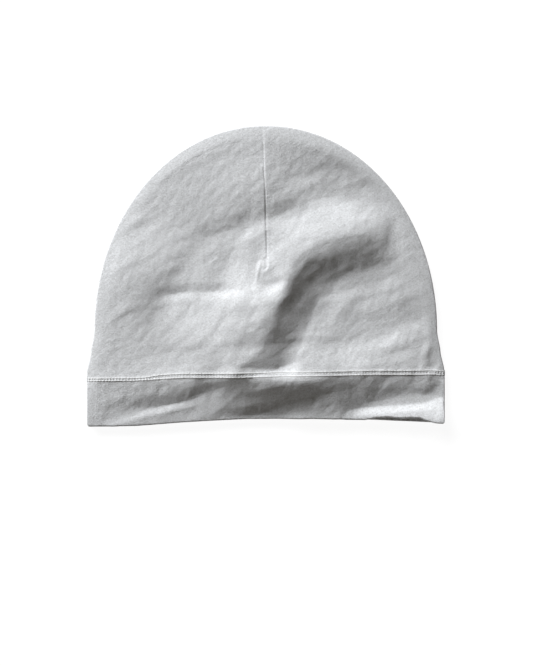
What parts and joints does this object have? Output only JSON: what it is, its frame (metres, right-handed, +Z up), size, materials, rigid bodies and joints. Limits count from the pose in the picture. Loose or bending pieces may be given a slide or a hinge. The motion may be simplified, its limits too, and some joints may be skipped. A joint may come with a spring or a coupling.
{
  "type": "skull cap",
  "caption": "Plain skull cap of white cotton jersey with a centre dart and a sewn-on band, lying flat on its back.",
  "frame": {"origin": "on the surface that the cap lies on, under the middle of its bounding box", "axes": "+X across the band, +Y from the hem to the crown, +Z up off the surface"},
  "size_m": [0.226, 0.19, 0.0166],
  "materials": {
    "crown_front": "single cotton jersey, white, matte",
    "crown_back": "single cotton jersey, white, matte",
    "band": "doubled cotton jersey, white, matte"
  },
  "bodies": {
    "root": {"crown_front": "crown_front", "crown_back": "crown_back", "band": "band"}
  },
  "joints": []
}
